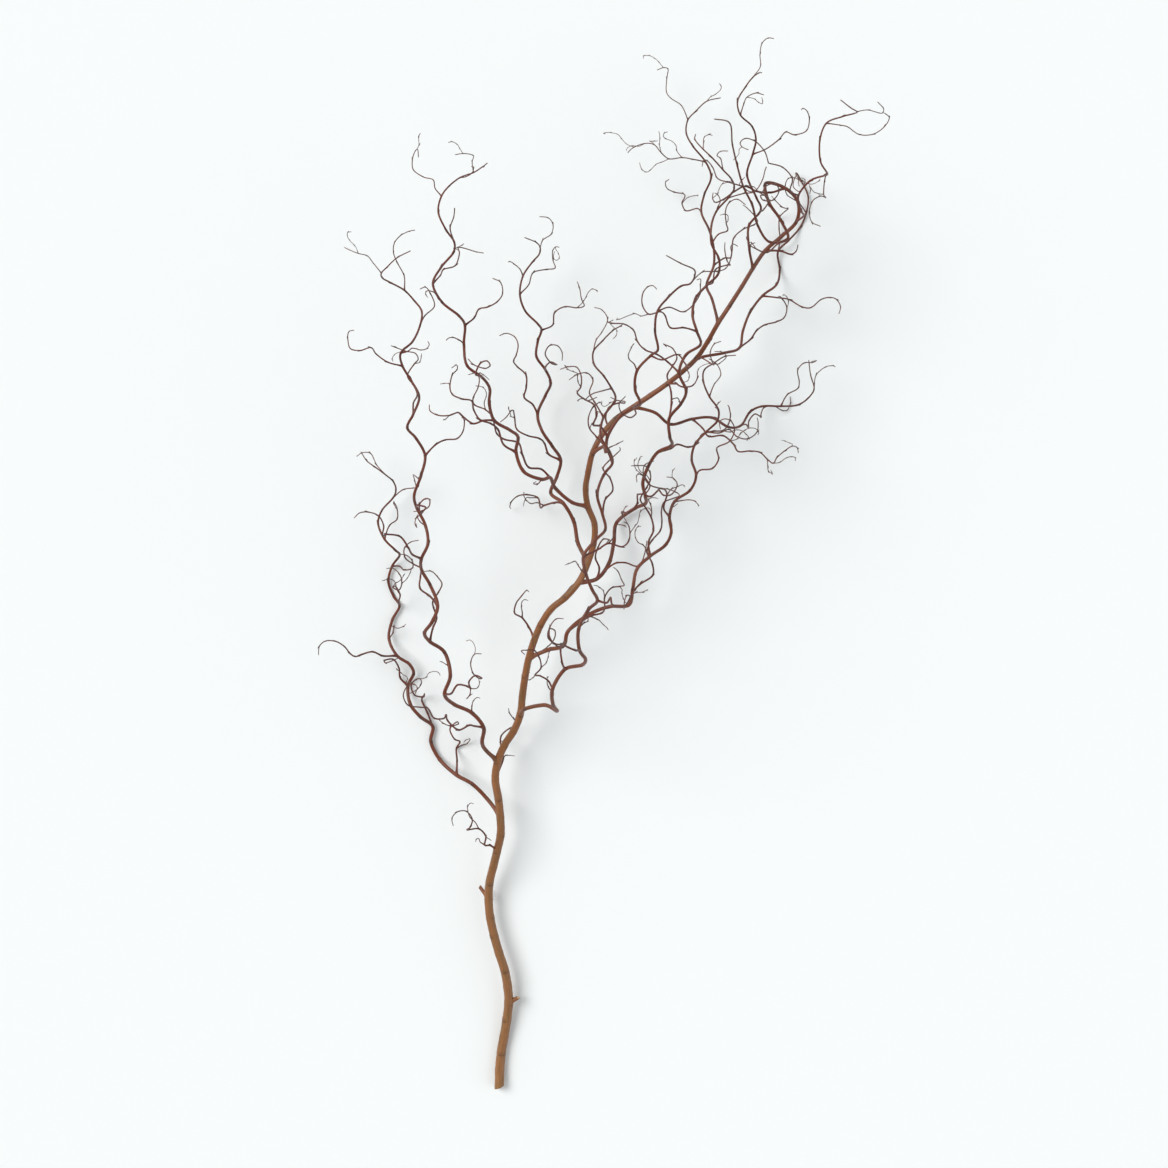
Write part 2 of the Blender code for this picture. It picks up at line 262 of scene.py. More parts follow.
def fine_line(nodes, rings):
    """The same smooth curve as winding's, with 'rings' crowded points to each internode."""
    bends = np.array([2 * nodes[0] - nodes[1], *nodes, 2 * nodes[-1] - nodes[-2]])
    a, b, c, d = (bends[start : len(bends) - 3 + start, None] for start in range(4))
    at_b = np.linalg.norm(b - a, axis=2, keepdims=True) ** 0.5
    at_c = at_b + np.linalg.norm(c - b, axis=2, keepdims=True) ** 0.5
    at_d = at_c + np.linalg.norm(d - c, axis=2, keepdims=True) ** 0.5
    at = at_b + (at_c - at_b) * crowded(rings)[None, :, None]
    ab = a + (b - a) * at / at_b
    bc = b + (c - b) * (at - at_b) / (at_c - at_b)
    cd = c + (d - c) * (at - at_c) / (at_d - at_c)
    abc = ab + (bc - ab) * at / at_c
    bcd = bc + (cd - bc) * (at - at_b) / (at_d - at_b)
    curve = abc + (bcd - abc) * (at - at_b) / (at_c - at_b)
    return np.vstack((curve.reshape(-1, 3), bends[-2]))


def unit(vectors):
    return vectors / np.linalg.norm(vectors, axis=-1, keepdims=True)


def frames_along(line):
    """Tangents, and two ways square to them that are carried along without twist."""
    tangents = unit(np.gradient(line, axis=0))
    ways = np.empty_like(line)
    way = np.array(ACROSS)
    for number, tangent in enumerate(tangents):
        way = way - tangent * (way @ tangent)
        way /= math.sqrt(way @ way)
        ways[number] = way
    return tangents, ways, np.cross(tangents, ways)


class Skins:
    """The skins of some shoots, gathered into one piece."""

    draws = np.random.default_rng(SKIN_SEED)

    def __init__(self):
        self.points, self.facts, self.strips = [], {}, []
        self.count = 0

    def add(self, rings, spokes, along, facts, closed_root=None, closed_tip=None):
        """Adds one closed skin: rings of points, and what its bark needs to know of each."""
        length, sides = rings.shape[:2]
        ends = [
            rings[0].mean(0) if closed_root is None else closed_root,
            rings[-1].mean(0) if closed_tip is None else closed_tip,
        ]
        shift = self.draws.uniform(0.0, GRAIN_SHIFT)
        straight = spokes + np.array((0.0, 0.0, 1.0)) * (along[:, None, None] + shift)
        around = np.linalg.norm(np.roll(rings, -1, axis=1) - rings, axis=2).sum(1)
        points = np.vstack((rings.reshape(-1, 3), ends))
        points[:, 2] = np.maximum(points[:, 2], 0.0)
        self.points.append(points)
        shape = (length, sides, 1)
        tables = [(name, np.broadcast_to(value, shape)) for name, value in facts.items()]
        for name, values in [("grain", straight), *tables]:
            table = values.reshape(length * sides, -1)
            caps = np.vstack((table[:sides].mean(0), table[-sides:].mean(0)))
            self.facts.setdefault(name, []).append(np.vstack((table, caps)))
        self.strips.append((self.count, sides, along, around))
        self.count += length * sides + 2

    def cover(self, shoot, sides, rings, tone=0.0, cut_root=False, cut_tip=False):
        """Covers one shoot from its root in its parent to its tip."""
        line = fine_line(shoot.nodes, rings)
        tangents, ways, others = frames_along(line)
        along = np.concatenate(((0.0,), np.linalg.norm(np.diff(line, axis=0), axis=1).cumsum()))
        length = len(line)
        angles = math.tau * np.arange(sides) / sides
        cosine, sine = np.cos(angles)[None, :, None], np.sin(angles)[None, :, None]
        outward = ways[:, None] * cosine + others[:, None] * sine

        last_node = len(shoot.nodes) - 1
        below = np.minimum(np.arange(length) // rings, last_node - 1)
        place = np.arange(length) / rings
        radius = np.interp(place, range(last_node + 1), shoot.radii)
        buds = np.array(shoot.bud_ways)
        at_nodes = np.arange(last_node + 1) * rings
        node_reach = SWELLING_REACH + REACH_BY_RADIUS * radius
        knot, scar = np.zeros((2, length, sides))
        for number, width in ((below, SWELLING_ABOVE), (below + 1, SWELLING_BELOW)):
            past = along - along[at_nodes[number]]
            bare = ((number == 0) | (number == last_node))[:, None]
            facing = np.maximum(np.einsum("rsk,rk->rs", outward, buds[number]), 0.0)
            share = ROUND_SHARE + BUD_SIDE_SHARE * facing**2
            gap = (past / (node_reach * width))[:, None]
            knot += np.where(bare, 0.0, np.exp(-(gap**2))) * share
            line_at = past[:, None] + (SCAR_DROP + SCAR_SAG * facing) * radius[:, None]
            gap = line_at / (SCAR_WIDTH + SCAR_SPREAD * radius[:, None])
            share = np.clip((facing - SCAR_FROM) / SCAR_EASE, 0.0, 1.0)
            scar += np.where(bare, 0.0, np.exp(-(gap**2))) * share
        swelling = NODE_SWELLING * np.clip(SWELLING_GIRTH / radius, LEAST_SWELLING, 1.0)
        relief = 1 + swelling[:, None] * knot + SCAR_HEIGHT * scar
        for wave, turns in LUMPS:
            phase = self.draws.uniform(0.0, math.tau, 2)
            swing = np.sin(math.tau * along / wave + phase[0])[:, None]
            relief += LUMP_HEIGHT * swing * np.cos(turns * angles + phase[1])
        if sides > SIDES_WITHOUT_FURROWS:
            for turns, wave in FURROWS:
                drift = FURROW_DRIFT * np.sin(math.tau * along / wave)[:, None]
                relief += FURROW_DEPTH * np.cos(turns * angles + drift)
        reach = radius[:, None] * relief

        girth = radius * MILLI
        if shoot.parent:
            wood = shoot.parent.radii[shoot.root_node]
            grain_way = np.array(shoot.parent.tangents[shoot.root_node])
            out = np.maximum(0.0, along - COLLAR_FROM * wood)
            collar = np.exp(-out / (COLLAR_REACH + COLLAR_BY_RADIUS * radius[0]))[:, None]
            with_grain = np.einsum("rsk,k->rs", outward, grain_way) ** 2
            reach = reach * (1 + collar * (COLLAR_ACROSS + COLLAR_ALONG * with_grain))
            buried = np.clip(1 - along / wood, 0.0, 1.0)[:, None]
            reach = np.minimum(reach, ROOT_INSIDE * wood + NO_LIMIT * (1 - buried))
            girth += (wood * MILLI - girth) * AGE_FROM_PARENT * np.exp(-out / AGE_BLEND)
        if not cut_tip:
            rounding = TIP_ROUNDING * shoot.radii[-1]
            over = np.clip((along - along[-1] + rounding) / rounding, 0.0, TIP_BLUNTNESS)
            reach = reach * np.sqrt(1 - over**2)[:, None]

        spokes = outward * reach[:, :, None]
        points = line[:, None] + spokes
        if cut_root or cut_tip:
            past_cut = along if cut_root else along[-1] - along
            ease = np.maximum(0.0, 1 - past_cut / (CUT_EASE * radius[0]))[:, None]
            slope = math.tan(CUT_SLANT) * np.cos(angles)[None] * reach * ease
            points = points + tangents[:, None] * slope[:, :, None]
        root = points[0].mean(0) + tangents[0] * CUT_HOLLOW if cut_root else None
        rise = CUT_TIP_RISE if cut_tip else TIP_RISE
        tip = points[-1].mean(0) + tangents[-1] * shoot.radii[-1] * rise
        flat = np.stack((np.cos(angles) * reach, np.sin(angles) * reach, 0 * reach), axis=2)
        facts = {
            "girth": girth[:, None, None],
            "knot": knot[:, :, None],
            "scar": scar[:, :, None],
            "tone": tone,
        }
        self.add(points, flat, along, facts, root, tip)
        return points

    def rows(self, scale):
        """Places for the ribbons on the map at this scale, or None if they don't fit."""
        ribbons = []
        for number, (_, _, along, around) in enumerate(self.strips):
            start = 0
            while start < len(along) - 1:
                reach = along[start] + (1 - 2 * MAP_EDGE) / scale
                end = min(len(along) - 1, max(start + 1, np.searchsorted(along, reach) - 1))
                width = (along[end] - along[start]) * scale
                ribbons.append((around[start : end + 1].max() * scale, width, number, start, end))
                start = end
        ribbons.sort(reverse=True)
        across, up, tallest, places = MAP_EDGE, MAP_EDGE, ribbons[0][0], []
        for height, width, number, start, end in ribbons:
            if across + width > 1 - MAP_EDGE + 1e-9:
                across, up, tallest = MAP_EDGE, up + tallest + MAP_GAP, height
            if up + height > 1 - MAP_EDGE:
                return None
            places.append((number, start, end, across, up))
            across += width + MAP_GAP
        return places

    def ribbon_places(self):
        """Lays the skins on the map as ribbons: slit along the back, cut in lengths, in rows."""
        coarse, fine = 0.0, MAP_FINEST
        for _ in range(MAP_TRIES):
            scale = (coarse + fine) / 2
            if self.rows(scale):
                coarse = scale
            else:
                fine = scale
        return coarse, self.rows(coarse)

    def piece(self, name, finish):
        """The mesh object with its faces, its bark's facts and its map."""
        scale, places = self.ribbon_places()
        quads, quad_map, fans, fan_map = [], [], [], []
        ends = {}
        for number, start, end, across, up in places:
            first, sides, along, around = self.strips[number]
            ring = np.arange(start, end)[:, None]
            side = np.arange(sides)[None]
            after = (side + 1) % sides
            corners = (ring, side), (ring, after), (ring + 1, after), (ring + 1, side)
            quads.append(
                np.stack([first + r * sides + s for r, s in corners], axis=2).reshape(-1, 4)
            )
            steps = (ring, side), (ring, side + 1), (ring + 1, side + 1), (ring + 1, side)
            places_on = [
                np.stack(
                    np.broadcast_arrays(
                        across + (along[r] - along[start]) * scale,
                        up + s * around[r] / sides * scale,
                    ),
                    axis=2,
                )
                for r, s in steps
            ]
            quad_map.append(np.stack(places_on, axis=2).reshape(-1, 4, 2))
            if start == 0:
                ends[number, 0] = (across, up)
            if end == len(along) - 1:
                ends[number, 1] = (across + (along[end] - along[start]) * scale, up)
        for (number, at_tip), (across, up) in ends.items():
            first, sides, along, around = self.strips[number]
            length = len(along)
            side = np.arange(sides)
            after = (side + 1) % sides
            ring = (length - 1) * sides if at_tip else 0
            apex = np.full(sides, first + length * sides + at_tip)
            rim = np.stack((side, after) if at_tip else (after, side), axis=1) + first + ring
            fans.append(np.column_stack((rim, apex)))
            step = around[-1 if at_tip else 0] / sides * scale
            off = MAP_GAP * FAN_SHARE * (1 if at_tip else -1)
            rims = (side, side + 1) if at_tip else (side + 1, side)
            fan_map.append(
                np.stack(
                    [
                        np.stack((np.full(sides, across), up + rims[0] * step), axis=1),
                        np.stack((np.full(sides, across), up + rims[1] * step), axis=1),
                        np.stack((np.full(sides, across + off), up + (side + 0.5) * step), axis=1),
                    ],
                    axis=1,
                )
            )
        mesh = bpy.data.meshes.new(name)
        faces = np.vstack(quads).tolist() + np.vstack(fans).tolist()
        mesh.from_pydata(np.vstack(self.points), [], faces)
        for fact, tables in self.facts.items():
            table = np.vstack(tables).astype(np.float32)
            kind, key = ("FLOAT_VECTOR", "vector") if table.shape[1] == 3 else ("FLOAT", "value")
            mesh.attributes.new(fact, kind, "POINT").data.foreach_set(key, table.ravel())
        corners = np.vstack([m.reshape(-1, 2) for m in (*quad_map, *fan_map)]).astype(np.float32)
        mesh.uv_layers.new(name="OFBake").uv.foreach_set("vector", corners.ravel())
        mesh.shade_smooth()
        mesh.materials.append(finish)
        thing = bpy.data.objects.new(name, mesh)
        bpy.context.scene.collection.objects.link(thing)
        return thing


class Wire:
    """A socket in a material. Python's operators on it add Math nodes."""

    def __init__(self, finish, socket):
        self.finish, self.socket = finish, socket

    def math(self, operation, *values):
        sockets = dict(zip(("Value", "Value_001", "Value_002"), values))
        return self.finish.node("ShaderNodeMath", {"operation": operation}, sockets)

    def __add__(self, other):
        return self.math("ADD", self, other)

    def __sub__(self, other):
        return self.math("SUBTRACT", self, other)

    def __rsub__(self, other):
        return self.math("SUBTRACT", other, self)

    def __mul__(self, other):
        return self.math("MULTIPLY", self, other)

    def __truediv__(self, other):
        return self.math("DIVIDE", self, other)

    def __pow__(self, other):
        return self.math("POWER", self, other)

    __radd__ = __add__
    __rmul__ = __mul__

    def fraction(self):
        return self.math("FRACT", self)

    def held(self):
        """The value kept between 0 and 1."""
        return self.finish.node(
            "ShaderNodeMath",
            {"operation": "MULTIPLY", "use_clamp": True},
            {"Value": self, "Value_001": 1.0},
        )


class Finish:
    """A material or a sky under the brush: its shader and the nodes that feed it."""

    def __init__(self, owner, shader="Principled BSDF"):
        self.owner = owner
        owner.use_nodes = True
        self.tree = owner.node_tree
        self.shader = self.tree.nodes[shader]

    def node(self, kind, settings, sockets, result=0):
        """Adds a node: its settings first, then the value or the link of each socket."""
        made = self.tree.nodes.new(kind)
        for name, value in settings.items():
            if name == "stops":
                ramp = made.color_ramp.elements
                while len(ramp) < len(value):
                    ramp.new(0.5)
                for stop, (position, colour) in zip(ramp, value):
                    stop.position, stop.color = position, (*colour, 1.0)
            else:
                setattr(made, name, value)
        by_name = {socket.name: socket for socket in reversed(made.inputs)}
        by_name |= {socket.identifier: socket for socket in made.inputs}
        for name, value in sockets.items():
            self.feed(by_name[name], value)
        shown = [output for output in made.outputs if output.enabled]
        return Wire(self, shown[result])

    def feed(self, socket, value):
        if isinstance(value, Wire):
            self.tree.links.new(value.socket, socket)
        elif isinstance(value, tuple) and len(value) == 3 and socket.type == "RGBA":
            socket.default_value = (*value, 1.0)
        else:
            socket.default_value = value

    def fact(self, name, result):
        """What the skin knows of itself at this point."""
        return self.node("ShaderNodeAttribute", {"attribute_name": name}, {}, result)

    def stretched(self, vector, stretch):
        sockets = {"Vector": vector, "Vector_001": stretch}
        return self.node("ShaderNodeVectorMath", {"operation": "MULTIPLY"}, sockets)

    def noise(self, vector, detail=2.0, roughness=0.5):
        sockets = {"Vector": vector, "Scale": 1.0, "Detail": detail, "Roughness": roughness}
        return self.node("ShaderNodeTexNoise", {}, sockets)

    def mixed(self, share, one, other, way="MIX"):
        sockets = {"Factor_Float": share, "A_Color": one, "B_Color": other}
        return self.node("ShaderNodeMix", {"data_type": "RGBA", "blend_type": way}, sockets)

    def bump(self, height, strength, distance):
        sockets = {"Strength": strength, "Distance": distance, "Height": height}
        return self.node("ShaderNodeBump", {}, sockets)

    def done(self, **values):
        """Feeds the shader, by its sockets' names with _ for a space."""
        for name, value in values.items():
            self.feed(self.shader.inputs[name.replace("_", " ")], value)
        return self.owner


# Bark by its age: grey at the tip, dark maroon on this year's twigs, red-brown, then golden brown
BARK_AGES = [
    (0.00, (0.120, 0.074, 0.052)),
    (0.09, (0.088, 0.036, 0.024)),
    (0.17, (0.094, 0.020, 0.012)),
    (0.34, (0.150, 0.036, 0.013)),
    (0.58, (0.226, 0.080, 0.025)),
    (0.92, (0.272, 0.121, 0.042)),
]
OLDEST_GIRTH = 6.5
YOUNG_GIRTH, AGEING = 1.6, 2.5
REDDER = (0.150, 0.022, 0.012)
OLIVE = (0.135, 0.082, 0.020)
SUNNED = (0.210, 0.060, 0.022)
PLUM = (0.052, 0.014, 0.013)
DARK_NODE = (0.030, 0.011, 0.007)
LENTICEL = (0.420, 0.270, 0.160)
BLOOM = (0.360, 0.250, 0.190)
# Noise to the millimetre, across a shoot twice and then along it, where it is drawn out
STREAK_GRAIN = (0.9, 0.9, 0.045)
FIBRE_GRAIN = (3.4, 3.4, 0.30)
PATCH_GRAIN = (0.16, 0.16, 0.028)
CORK_GRAIN = (0.42, 0.42, 0.20)
CORK_SIZE, CORK_GIRTH, CORK_AGEING = 0.06, 1.3, 1.2
BARK_RELIEF, BARK_SHINE = 0.00040, 0.42


def willow_bark():
    """Thin bark: lengthwise streaks, fine fibres, patches along a shoot, and dots of cork."""
    bark = Finish(bpy.data.materials.new("willow_bark"))
    grain = bark.stretched(bark.fact("grain", 1), (MILLI, MILLI, MILLI))
    girth = bark.fact("girth", 2)
    knot = bark.fact("knot", 2)
    scar = bark.fact("scar", 2)
    tone = bark.fact("tone", 2)
    streaks = bark.noise(bark.stretched(grain, STREAK_GRAIN), 3.0, 0.6)
    fibres = bark.noise(bark.stretched(grain, FIBRE_GRAIN), 2.0, 0.6)
    patches = bark.noise(bark.stretched(grain, PATCH_GRAIN), 3.0, 0.55)
    dots = bark.node(
        "ShaderNodeTexVoronoi",
        {"feature": "F1"},
        {"Vector": bark.stretched(grain, CORK_GRAIN), "Scale": 1.0, "Randomness": 1.0},
    )
    corky = ((girth - CORK_GIRTH) / CORK_AGEING).held()
    lenticel = ((CORK_SIZE + 0.2 * fibres - dots) / CORK_SIZE).held() * corky

    colour = bark.node("ShaderNodeValToRGB", {"stops": BARK_AGES}, {"Fac": girth / OLDEST_GIRTH})
    colour = bark.mixed((tone * 0.5 + 0.15).held() * 0.7, colour, REDDER)
    old = ((girth - YOUNG_GIRTH) / AGEING).held()
    colour = bark.mixed(((patches - 0.5) * 5.0).held() * old * 0.55, colour, OLIVE)
    sunned = ((0.50 - patches) * 5.0).held() * (1 - old)
    colour = bark.mixed(sunned * 0.45, colour, SUNNED)
    colour = bark.mixed(((patches - 0.52) * 6.0).held() * (1 - old) * 0.55, colour, PLUM)
    shading = (0.36 + 1.28 * streaks) * (0.80 + 0.40 * fibres)
    channels = dict.fromkeys(("Red", "Green", "Blue"), shading)
    shade = bark.node("ShaderNodeCombineColor", {}, channels)
    colour = bark.mixed(1.0, colour, shade, "MULTIPLY")
    colour = bark.mixed(((knot - 0.22) * (0.8 - 0.62 * old)).held(), colour, DARK_NODE)
    colour = bark.mixed(scar.held() * 0.8, colour, DARK_NODE)
    colour = bark.mixed(lenticel * 0.34, colour, LENTICEL)
    dust = ((patches * 0.6 + streaks * 0.6 - 0.66) * 4.0).held()
    colour = bark.mixed(dust * 0.22, colour, BLOOM)

    height = fibres * 0.8 + streaks * 0.5 + lenticel * 0.6
    return bark.done(
        Base_Color=colour,
        Roughness=(0.27 + 0.18 * streaks + 0.12 * fibres + 0.15 * dust).held(),
        Normal=bark.bump(height, 0.9, BARK_RELIEF),
        Specular_IOR_Level=BARK_SHINE,
    )


WILLOW_BARK = willow_bark()
STEM_SIDES, STEM_RINGS = 28, 18
STEM_TONE = -0.6

stem = grow_stem()
stem_skin = Skins()
butt_rings = stem_skin.cover(stem, STEM_SIDES, STEM_RINGS, tone=STEM_TONE, cut_root=True)
stem_bark = stem_skin.piece("stem_bark", WILLOW_BARK)
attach(stem_bark, "root")
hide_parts("branch")

# Side shoots stand round the stem in the order of its buds, two turns to five. Each is a year or
# two younger than the wood it grew from, leaves it through a swollen collar, and winds up along it.


class Habit(NamedTuple):
    """How one kind of shoot grows."""

    internode: float
    leave: float
    sway: float
    turn: float
    pull: float
    curl: float
    root_share: float
    thickest: float
    tip_radius: float


class Setting(NamedTuple):
    """How thickly one kind of shoot stands on another."""

    first: int
    bare: int
    every: int
    longest: float
    shortest: float


SIDE_SHOOT = Habit(
    internode=0.026,
    leave=math.radians(56),
    sway=0.58,
    turn=math.radians(84),
    pull=0.10,
    curl=0.40,
    root_share=0.62,
    thickest=0.0025,
    tip_radius=0.00055,
)
SIDES_ON_STEM = Setting(first=16, bare=12, every=3, longest=0.86, shortest=0.30)
CROWN_SEED = 7
FEET = {0: 16, 9: 11}

STEPS = 4
ROOT_ZONE = 0.014
CLEAR_BETWEEN = 0.0022
TRIES = 14
SHOOT_TAPER = 0.8
INTERNODE_LOSS = 0.4
HOOK_FROM = 0.6
HOOK_STEADINESS = 0.7
TURN_SPREAD = (0.6, 1.4)
SWAY_SPREAD = (0.5, 1.5)
STEP_SPREAD = (0.85, 1.2)
LENGTH_SPREAD = (0.6, 1.5, 0.95)
SURFACE_GAP = 0.0015
SURFACE_PUSH = 0.018
SURFACE_LIFT = 0.5
CORNER_ROOM = 1.3
TOUCH_SHARE = 0.70
DROP_CURVE = 1.5
UP_ALONG_STEM = Vector((0.06, 1.0, 0.05)).normalized()


def off_surface(radius):
    return SURFACE_GAP + radius * CORNER_ROOM


def lie_down(nodes, radii, foot):
    """Lowers a shoot, more the further out, until its node 'foot' lies on the surface."""
    drop = nodes[foot].z - radii[foot] * TOUCH_SHARE
    for number, (node, radius) in enumerate(zip(nodes, radii)):
        node.z -= drop * min(1.0, number / foot) ** DROP_CURVE
        if number not in (0, foot):
            node.z = max(node.z, off_surface(radius))


def grow(parent, node, length, habit, draws, foot=None):
    """A shoot from one node of its parent: straight at first, then wavy, then hooked."""
    root_radius = min(habit.thickest, parent.radii[node] * habit.root_share)
    count = max(4, round(length / habit.internode))
    radii = tapering(count + 1, root_radius, habit.tip_radius, SHOOT_TAPER)
    heading = parent.heading_at(node, habit.leave)
    lean = turned(square_to(parent.tangents[node], heading), heading, draws.uniform(0.0, math.tau))
    hand = draws.choice((-1, 1))
    nodes = [parent.nodes[node].copy()]
    for number in range(1, count + 1):
        share = number / count
        near_tip = max(0.0, (share - HOOK_FROM) / (1 - HOOK_FROM))
        turn = habit.turn * (1 - HOOK_STEADINESS * near_tip) * draws.uniform(*TURN_SPREAD)
        lean = turned(lean, heading, hand * turn)
        height = max(0.0, nodes[-1].z - off_surface(radii[number]))
        heading += UP_ALONG_STEM * habit.pull * (1 - near_tip) + lean * habit.curl * near_tip
        heading.z += SURFACE_LIFT * math.exp(-height / SURFACE_PUSH)
        heading.normalize()
        lean = square_to(lean, heading)
        sway = 0.0 if number == 1 else habit.sway * draws.uniform(*SWAY_SPREAD)
        step = habit.internode * (1 - INTERNODE_LOSS * share) * draws.uniform(*STEP_SPREAD)
        point = nodes[-1] + (heading + lean * sway).normalized() * step
        point.z = max(point.z, off_surface(radii[number]))
        nodes.append(point)
    if foot:
        lie_down(nodes, radii, foot)
    return Shoot(nodes, radii, draws.uniform(0.0, math.tau), parent, node)


class Crown:
    """The shoots so far, kept clear of each other."""

    def __init__(self, first):
        self.points = np.empty((0, 3))
        self.radii = np.empty(0)
        self.takes(first)

    def takes(self, shoot):
        """Adds the shoot if, past its root, it touches nothing."""
        curve = np.array(winding(shoot.nodes, STEPS))
        radii = np.repeat(shoot.radii, STEPS)[: len(curve)]
        past_root = np.linalg.norm(curve - curve[0], axis=1) > ROOT_ZONE
        apart = np.linalg.norm(curve[past_root, None] - self.points[None], axis=2)
        if (apart < radii[past_root, None] + self.radii[None] + CLEAR_BETWEEN).any():
            return False
        self.points = np.vstack((self.points, curve))
        self.radii = np.concatenate((self.radii, radii))
        return True

    def furnish(self, parent, setting, habit, draws, feet=None):
        """Sets children on a parent, one at every so many nodes, shorter towards its tip."""
        last = len(parent.nodes) - setting.bare
        made = []
        for node in range(setting.first, last, setting.every):
            share = (node - setting.first) / (last - setting.first)
            typical = setting.longest + (setting.shortest - setting.longest) * share
            foot = (feet or {}).get(len(made))
            for _ in range(TRIES):
                length = typical * draws.triangular(*LENGTH_SPREAD)
                child = grow(parent, node, length, habit, draws, foot)
                if self.takes(child):
                    parent.forks.add(node)
                    made.append(child)
                    break
        return made


draws = random.Random(CROWN_SEED)
crown = Crown(stem)
sides = crown.furnish(stem, SIDES_ON_STEM, SIDE_SHOOT, draws, FEET)

# Twigs are last summer's growth, one to two millimetres thick and dark maroon. They stand on the
# stem and on the side shoots, and dry with a hook at the tip. Short spurs stand between them.

TWIG = Habit(
    internode=0.0165,
    leave=math.radians(54),
    sway=0.66,
    turn=math.radians(92),
    pull=0.06,
    curl=0.75,
    root_share=0.66,
    thickest=0.00125,
    tip_radius=0.00048,
)
TWIGS_ON_STEM = Setting(first=14, bare=4, every=4, longest=0.15, shortest=0.09)
TWIGS_ON_SIDES = Setting(first=3, bare=2, every=3, longest=0.19, shortest=0.07)
SPUR = Habit(
    internode=0.0085,
    leave=math.radians(48),
    sway=0.50,
    turn=math.radians(80),
    pull=0.05,
    curl=0.90,
    root_share=0.62,
    thickest=0.00070,
    tip_radius=0.00038,
)
SPUR_LENGTHS = (0.018, 0.062)
SPUR_SHARE = 0.16
SPUR_SEED = 31
SIDE_SIDES, SIDE_RINGS = 14, 14
TWIG_SIDES, TWIG_RINGS = 10, 10
SPUR_SIDES, SPUR_RINGS = 8, 6
SIDE_TONES, TWIG_TONES = (-0.8, 1.0), (-0.5, 1.2)


def inside_solid_box(shoot):
    low, high = SOLID_BOX
    return all(low[axis] < node[axis] < high[axis] for node in shoot.nodes for axis in range(3))


def sprout_spurs(parents, draws):
    """Short spurs at some of the free nodes."""
    made = []
    for parent in parents:
        for node in range(2, len(parent.nodes) - 1):
            if node in parent.forks or draws.random() > SPUR_SHARE:
                continue
            spur = grow(parent, node, draws.uniform(*SPUR_LENGTHS), SPUR, draws)
            if inside_solid_box(spur) and crown.takes(spur):
                parent.forks.add(node)
                made.append(spur)
    return made


stem_twigs = crown.furnish(stem, TWIGS_ON_STEM, TWIG, draws)
side_twigs = [crown.furnish(side, TWIGS_ON_SIDES, TWIG, draws) for side in sides]
spur_draws = random.Random(SPUR_SEED)
stem_spurs = sprout_spurs(stem_twigs, spur_draws)
side_spurs = [sprout_spurs([side, *twigs], spur_draws) for side, twigs in zip(sides, side_twigs)]

groups = [("stem_twigs", None, stem_twigs, stem_spurs)]
for number, (side, twigs, spurs) in enumerate(zip(sides, side_twigs, side_spurs)):
    groups.append((f"side_shoot_{number:02d}", side, twigs, spurs))
for name, side, twigs, spurs in groups:
    skin = Skins()
    if side:
        skin.cover(side, SIDE_SIDES, SIDE_RINGS, tone=spur_draws.uniform(*SIDE_TONES))
    for twig in twigs:
        skin.cover(twig, TWIG_SIDES, TWIG_RINGS, tone=spur_draws.uniform(*TWIG_TONES))
    for spur in spurs:
        skin.cover(spur, SPUR_SIDES, SPUR_RINGS, tone=spur_draws.uniform(*TWIG_TONES))
    shoot_bark = skin.piece(name, WILLOW_BARK)
    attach(shoot_bark, "root")
    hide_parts("branch")

# Buds are three to six millimetres long, one at most nodes of the young wood, pressed to it and
# pointing to its tip. Each is shut in a single cap-like scale, darker and glossier than the bark.

BUD_LENGTHS = (0.0044, 0.0066)
BUD_LEAN = math.radians(12)
BUD_LEAST, BUD_FULL_AT = 0.42, 0.0026
BUD_WIDTH, BUD_FLATNESS = 0.17, 0.74
BUD_SHARE = 0.86
THICKEST_WITH_BUDS = 0.0032
BUD_SIDES = 8
BUD_PROFILE = [
    (0.00, 0.55),
    (0.14, 0.86),
    (0.30, 1.00),
    (0.50, 0.95),
    (0.70, 0.74),
    (0.86, 0.46),
    (0.96, 0.20),
]
BUD_ROOT, BUD_TIP = 0.72, 0.05
BUD_HUG, BUD_HUG_CURVE = 0.10, 2.5


def add_bud(skin, shoot, node, draws):
    """A flattened egg with a drawn-out tip that leans in to the wood."""
    radius = shoot.radii[node]
    length = draws.uniform(*BUD_LENGTHS) * min(1.0, BUD_LEAST + radius / BUD_FULL_AT)
    way, tangent = shoot.bud_ways[node], shoot.tangents[node]
    axis = (tangent * math.cos(BUD_LEAN) + way * math.sin(BUD_LEAN)).normalized()
    out = square_to(way, axis)
    beside = axis.cross(out)
    root = shoot.nodes[node] + way * radius * BUD_ROOT
    shares, widths = (np.array(values) for values in zip(*BUD_PROFILE))
    line = np.array(root) + np.array(axis) * (shares * length)[:, None]
    line = line - np.array(out) * (BUD_HUG * length * shares**BUD_HUG_CURVE)[:, None]
    angles = math.tau * np.arange(BUD_SIDES) / BUD_SIDES
    wide = (widths * BUD_WIDTH * length)[:, None]
    thick, broad = np.cos(angles)[None] * wide * BUD_FLATNESS, np.sin(angles)[None] * wide
    rings = line[:, None] + np.array(out) * thick[:, :, None] + np.array(beside) * broad[:, :, None]
    flat = np.stack((thick, broad, np.zeros_like(thick)), axis=2)
    tip = line[-1] + np.array(axis) * BUD_TIP * length
    facts = {"reach": shares[:, None, None], "tone": draws.uniform(-1.0, 1.0)}
    skin.add(rings, flat, shares * length, facts, None, tip)


BUD_COLOURS = [
    (0.0, (0.030, 0.010, 0.007)),
    (0.4, (0.075, 0.022, 0.012)),
    (1.0, (0.035, 0.012, 0.008)),
]
BUD_PALE = (0.160, 0.062, 0.030)
BUD_DARK = (0.025, 0.009, 0.006)
VEIN_GRAIN = (3.0, 3.0, 0.5)
BUD_RELIEF = 0.0001


